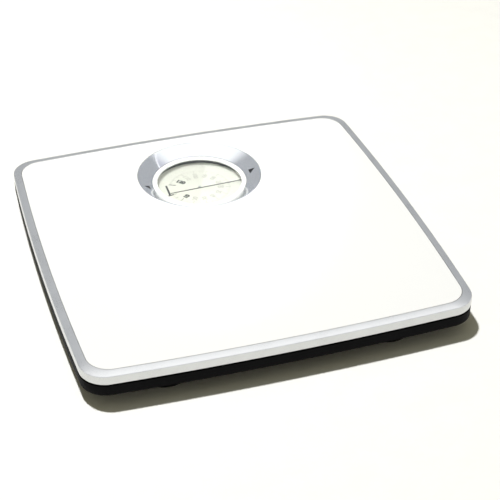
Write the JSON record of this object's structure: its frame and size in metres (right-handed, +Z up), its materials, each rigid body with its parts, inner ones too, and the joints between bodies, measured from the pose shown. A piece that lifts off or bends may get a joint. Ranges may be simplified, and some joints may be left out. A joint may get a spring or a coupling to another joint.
{
  "type": "mechanical dial platform scale",
  "caption": "Bowed square low platform on levers and springs, with a round dial behind a lens in a funnel-shaped ring near its back edge.",
  "frame": {"origin": "on the floor under the middle of the platform", "axes": "+Z up, +Y towards the dial's end, +X to the right of a user who stands at the -Y end facing the dial"},
  "size_m": [0.28, 0.28, 0.0274],
  "materials": {
    "silver_rim": "satin silver",
    "white_mat": "fine matt",
    "chrome_bezel": "polished",
    "white_ring": "semi-gloss",
    "clear_lens": "clear, polished",
    "dial_card": "matt, printed",
    "black_moulding": "fine textured",
    "black_rubber": "matt",
    "pointer_black": "matt",
    "zinc_steel": "zinc plated",
    "spring_steel": "bright drawn",
    "brass": "turned"
  },
  "bodies": {
    "base": {"base_tray": "black_moulding", "foot_front_left": "black_rubber", "foot_front_right": "black_rubber", "foot_back_left": "black_rubber", "foot_back_right": "black_rubber", "fulcrum_bracket_front_left": "zinc_steel", "fulcrum_bracket_front_right": "zinc_steel", "fulcrum_bracket_back_left": "zinc_steel", "fulcrum_bracket_back_right": "zinc_steel", "mechanism_frame": "zinc_steel", "frame_screw_1": "zinc_steel", "frame_screw_2": "zinc_steel", "frame_screw_3": "zinc_steel", "spindle_bush": "brass", "sector_post": "spring_steel", "crank_pin": "spring_steel", "return_spring": "spring_steel", "hold_down_spring_left": "spring_steel", "hold_down_spring_right": "spring_steel"},
    "platform": {"platform_cover": "silver_rim", "platform_mat": "white_mat", "dial_bezel": "chrome_bezel", "lens_frame": "white_ring", "dial_lens": "clear_lens", "index_pointer": "pointer_black", "bezel_screw_1": "zinc_steel", "bezel_screw_2": "zinc_steel", "bezel_screw_3": "zinc_steel", "load_bracket_front_left": "zinc_steel", "load_bracket_front_right": "zinc_steel", "load_bracket_back_left": "zinc_steel", "load_bracket_back_right": "zinc_steel"},
    "long_lever_left": {"long_lever_left": "zinc_steel", "fulcrum_pin_front_left": "spring_steel", "load_pin_front_left": "spring_steel", "lever_link_left": "zinc_steel"},
    "long_lever_right": {"long_lever_right": "zinc_steel", "fulcrum_pin_front_right": "spring_steel", "load_pin_front_right": "spring_steel", "lever_link_right": "zinc_steel"},
    "short_lever_left": {"short_lever_left": "zinc_steel", "fulcrum_pin_back_left": "spring_steel", "load_pin_back_left": "spring_steel"},
    "short_lever_right": {"short_lever_right": "zinc_steel", "fulcrum_pin_back_right": "spring_steel", "load_pin_back_right": "spring_steel"},
    "zero_knob": {"zero_knob": "black_moulding"},
    "spring_anchor": {"spring_anchor": "zinc_steel", "main_spring_left": "spring_steel", "main_spring_right": "spring_steel"},
    "nose_plate": {"nose_plate": "zinc_steel"},
    "bell_crank": {"bell_crank": "zinc_steel"},
    "pull_link": {"pull_link": "spring_steel"},
    "sector": {"sector_gear": "brass"},
    "dial": {"dial_spindle": "spring_steel", "pinion": "brass", "dial_hub": "brass", "dial_disc": "dial_card"}
  },
  "joints": [
    {"name": "dial_spin", "type": "hinge", "parent": "base", "child": "dial", "pos_m": [0, 0.0778, 0.01], "axis": [0, 0, -1], "range_deg": [0, 324], "stiffness_Nm_per_rad": 0.024, "springref_deg": -3.44},
    {"name": "platform_drop", "type": "slide", "parent": "base", "child": "platform", "axis": [0, 0, -1], "range_m": [0, 0.00060274], "deforming": ["hold_down_spring_left", "hold_down_spring_right"]},
    {"name": "long_lever_left_tilt", "type": "hinge", "parent": "base", "child": "long_lever_left", "pos_m": [-0.076, -0.118, 0.0165], "axis": [-1, 0, 0], "range_deg": [0, 1.73]},
    {"name": "short_lever_left_tilt", "type": "hinge", "parent": "base", "child": "short_lever_left", "pos_m": [-0.076, 0.118, 0.0165], "axis": [1, 0, 0], "range_deg": [0, 1.73]},
    {"name": "long_lever_right_tilt", "type": "hinge", "parent": "base", "child": "long_lever_right", "pos_m": [0.076, -0.118, 0.0165], "axis": [-1, 0, 0], "range_deg": [0, 1.73]},
    {"name": "short_lever_right_tilt", "type": "hinge", "parent": "base", "child": "short_lever_right", "pos_m": [0.076, 0.118, 0.0165], "axis": [1, 0, 0], "range_deg": [0, 1.73]},
    {"name": "zero_turn", "type": "hinge", "parent": "base", "child": "zero_knob", "pos_m": [0, 0.018, 0.004], "axis": [0, 0, 1], "range_deg": [-360, 360]},
    {"name": "anchor_lift", "type": "slide", "parent": "base", "child": "spring_anchor", "axis": [0, 0, 1], "range_m": [-0.0005, 0.0005]},
    {"name": "nose_drop", "type": "slide", "parent": "spring_anchor", "child": "nose_plate", "axis": [0, 0, -1], "range_m": [0, 0.0044], "deforming": ["main_spring_left", "main_spring_right"]},
    {"name": "crank_turn", "type": "hinge", "parent": "base", "child": "bell_crank", "pos_m": [-0.0084, 0.036, 0.0087], "axis": [1, 0, 0], "range_deg": [0, 44]},
    {"name": "link_pull", "type": "slide", "parent": "base", "child": "pull_link", "axis": [0, -1, 0], "range_m": [0, 0.003]},
    {"name": "sector_turn", "type": "hinge", "parent": "base", "child": "sector", "pos_m": [0, 0.04825, 0.0103], "axis": [0, 0, 1], "range_deg": [0, 30], "deforming": ["return_spring"]}
  ],
  "couplings": [
    {"joint": "dial_spin", "follows": "platform_drop", "rad_per_m": 9381.9},
    {"joint": "long_lever_left_tilt", "follows": "platform_drop", "rad_per_m": 50},
    {"joint": "short_lever_left_tilt", "follows": "platform_drop", "rad_per_m": 50},
    {"joint": "long_lever_right_tilt", "follows": "platform_drop", "rad_per_m": 50},
    {"joint": "short_lever_right_tilt", "follows": "platform_drop", "rad_per_m": 50},
    {"joint": "nose_drop", "follows": "platform_drop", "ratio": 7.3},
    {"joint": "crank_turn", "follows": "platform_drop", "rad_per_m": 1274.1},
    {"joint": "link_pull", "follows": "platform_drop", "ratio": 4.972},
    {"joint": "sector_turn", "follows": "platform_drop", "rad_per_m": 868.7},
    {"joint": "zero_turn", "follows": "anchor_lift", "rad_per_m": 12566}
  ]
}
